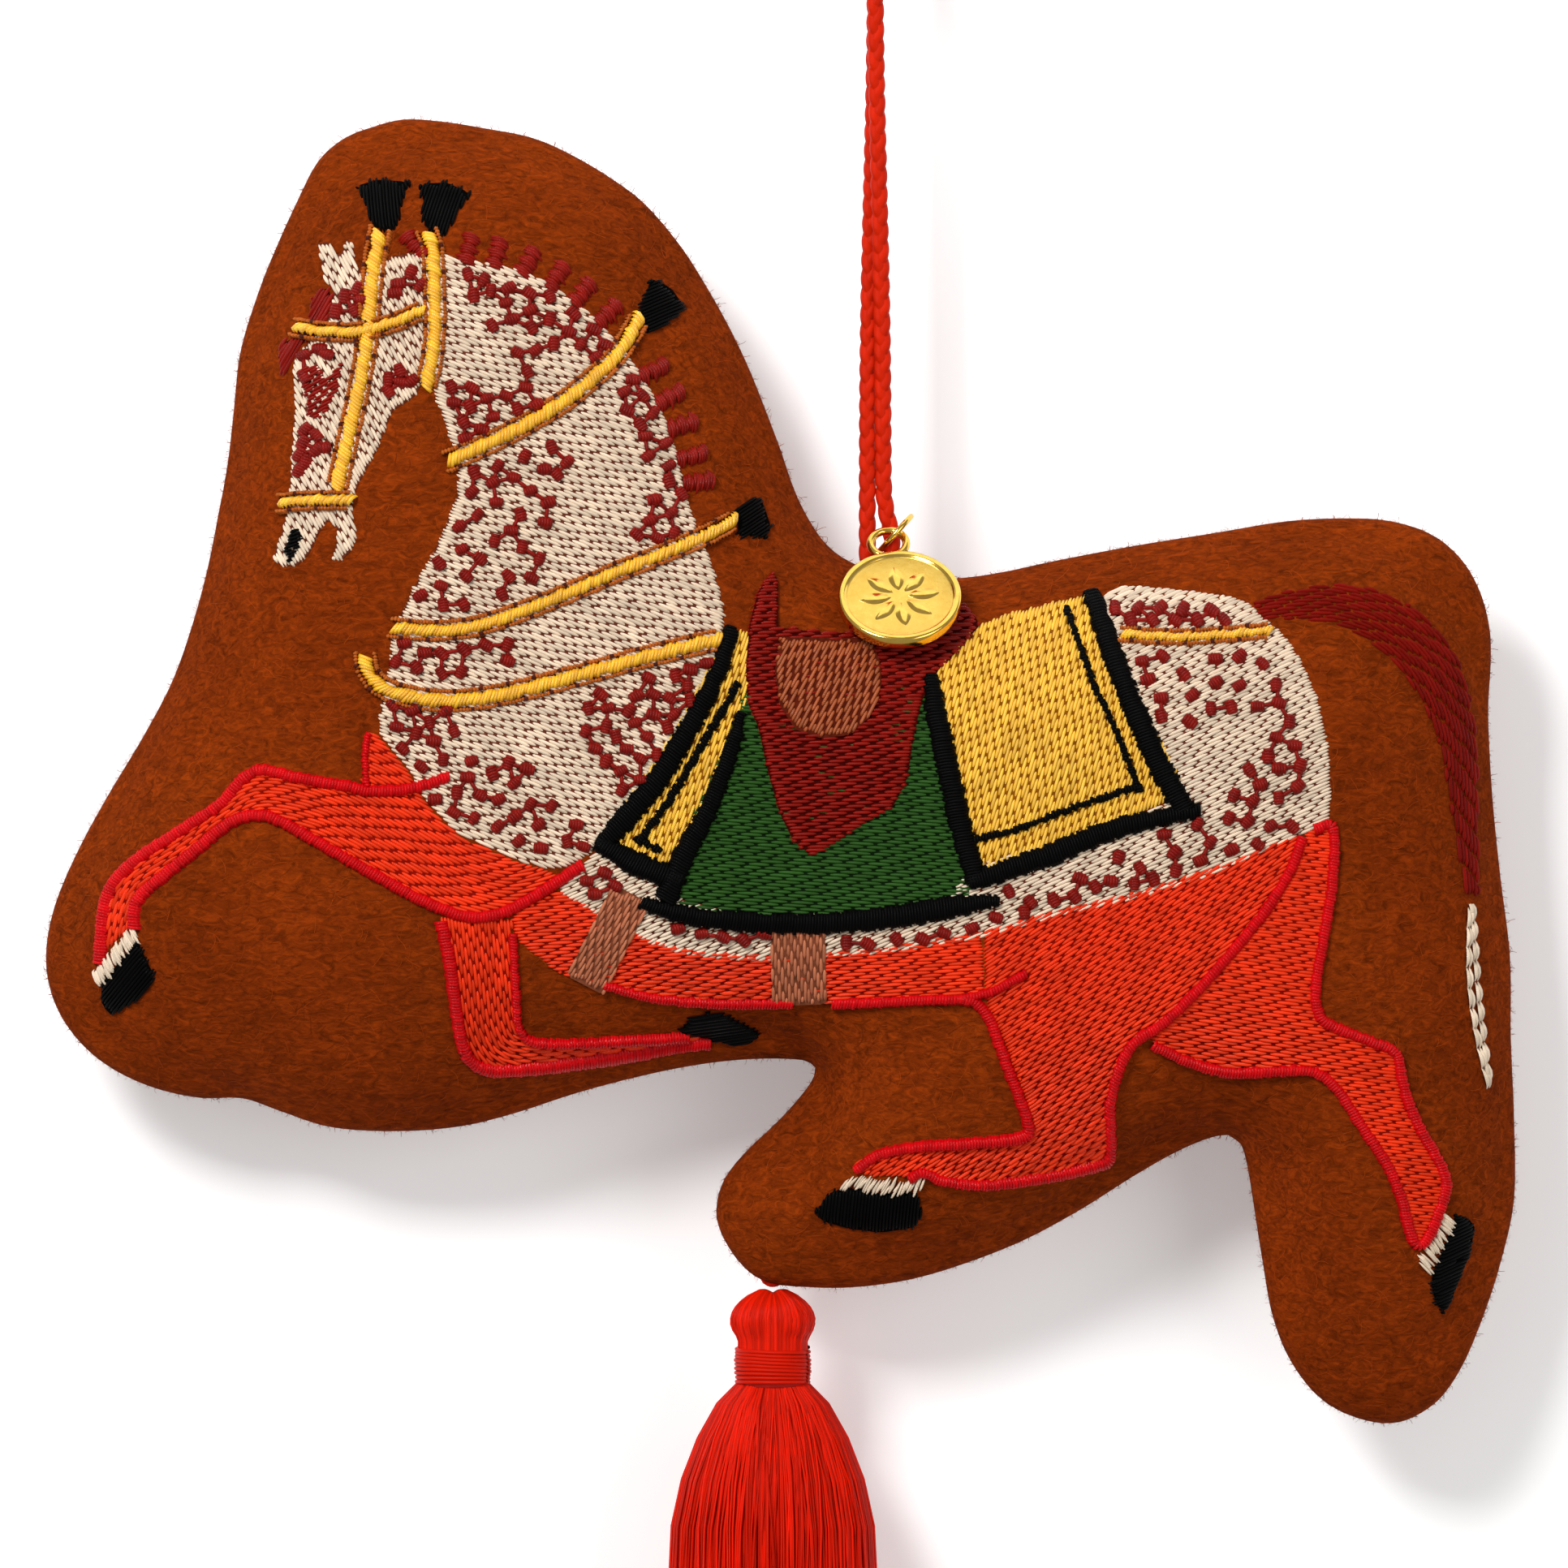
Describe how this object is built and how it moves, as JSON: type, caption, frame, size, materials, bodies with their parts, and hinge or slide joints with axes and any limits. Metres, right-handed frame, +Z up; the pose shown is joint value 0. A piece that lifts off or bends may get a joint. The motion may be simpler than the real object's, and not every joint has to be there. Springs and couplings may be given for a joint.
{
  "type": "embroidered felt horse ornament",
  "caption": "Flat stuffed wool-felt horse embroidered on its front with a prancing bridled horse, hung by a doubled cord, with a round tag on a jump ring and a thread tassel below.",
  "frame": {"origin": "top inside of the cord's eye, where a hook holds the ornament", "axes": "+Z up, embroidered front towards -Y, +X to the right seen from the front, so the horse's head is at -X"},
  "size_m": [0.1819, 0.0318, 0.253],
  "materials": {
    "felt": "soft wool felt, matt and slightly fuzzy",
    "fibre": "loose polyester fibre",
    "ivory_thread": "glossy embroidery thread",
    "red_thread": "glossy embroidery thread",
    "crimson_thread": "glossy embroidery thread",
    "maroon_thread": "glossy embroidery thread",
    "black_thread": "embroidery thread",
    "gold_thread": "glossy embroidery thread",
    "green_thread": "embroidery thread",
    "tan_thread": "glossy embroidery thread",
    "brown_thread": "embroidery thread",
    "cord": "glossy twisted floss",
    "tassel": "glossy floss",
    "brass": "polished gold plating"
  },
  "bodies": {
    "horse": {"felt_front_panel": "felt", "felt_back_panel": "felt", "fibre_stuffing": "fibre", "hanging_cord": "cord", "cord_knot": "cord", "coat_head": "ivory_thread", "coat_neck": "ivory_thread", "coat_body": "ivory_thread", "leg_fore_raised": "red_thread", "leg_fore_tucked": "red_thread", "belly": "red_thread", "leg_hind_near": "red_thread", "leg_hind_far": "red_thread", "hoof_fore_raised": "black_thread", "hoof_fore_tucked": "black_thread", "hoof_hind_near": "black_thread", "hoof_hind_far": "black_thread", "blanket": "green_thread", "front_cloth": "gold_thread", "rear_cloth": "gold_thread", "saddle": "maroon_thread", "saddle_seat": "tan_thread", "plume_poll_left": "black_thread", "plume_poll_right": "black_thread", "plume_neck_upper": "black_thread", "plume_neck_lower": "black_thread", "forelock": "maroon_thread", "nostril": "black_thread", "mane_upper": "maroon_thread", "mane_lower": "maroon_thread", "outline_fore_raised": "crimson_thread", "outline_fore_tucked": "crimson_thread", "outline_hind_near": "crimson_thread", "outline_hind_far": "crimson_thread", "coronet_fore_raised": "ivory_thread", "coronet_hind_near": "ivory_thread", "coronet_hind_far": "ivory_thread", "tail": "maroon_thread", "tail_tip": "ivory_thread", "blanket_border": "black_thread", "front_cloth_border": "black_thread", "front_cloth_line": "black_thread", "rear_cloth_border": "black_thread", "rear_cloth_line": "black_thread", "girth_front": "brown_thread", "girth_rear": "brown_thread", "strap_cheek": "gold_thread", "strap_throat": "gold_thread", "strap_brow": "gold_thread", "strap_nose": "gold_thread", "strap_neck_upper": "gold_thread", "strap_neck_lower": "gold_thread", "strap_collar": "gold_thread", "strap_crupper": "gold_thread"},
    "jump_ring_body": {"jump_ring": "brass"},
    "tag": {"charm": "brass"},
    "tassel_link": {"tassel_loop": "tassel"},
    "tassel": {"tassel_head": "tassel", "tassel_binding": "tassel", "tassel_skirt": "tassel"}
  },
  "joints": [
    {"name": "ring_lift", "type": "hinge", "parent": "horse", "child": "jump_ring_body", "pos_m": [0.00235, 0, -0.084], "axis": [-1, 0, 0], "range_deg": [0, 15]},
    {"name": "tag_lift", "type": "hinge", "parent": "jump_ring_body", "child": "tag", "pos_m": [0.0012, -0.0036, -0.0847], "axis": [-1, 0, 0], "range_deg": [0, 50]},
    {"name": "tassel_swing_side", "type": "hinge", "parent": "horse", "child": "tassel_link", "pos_m": [-0.0127, 0, -0.17395], "axis": [0, 1, 0], "range_deg": [-15, 15]},
    {"name": "tassel_swing_front", "type": "hinge", "parent": "tassel_link", "child": "tassel", "pos_m": [-0.0127, 0, -0.17655], "axis": [1, 0, 0], "range_deg": [-25, 25]}
  ]
}
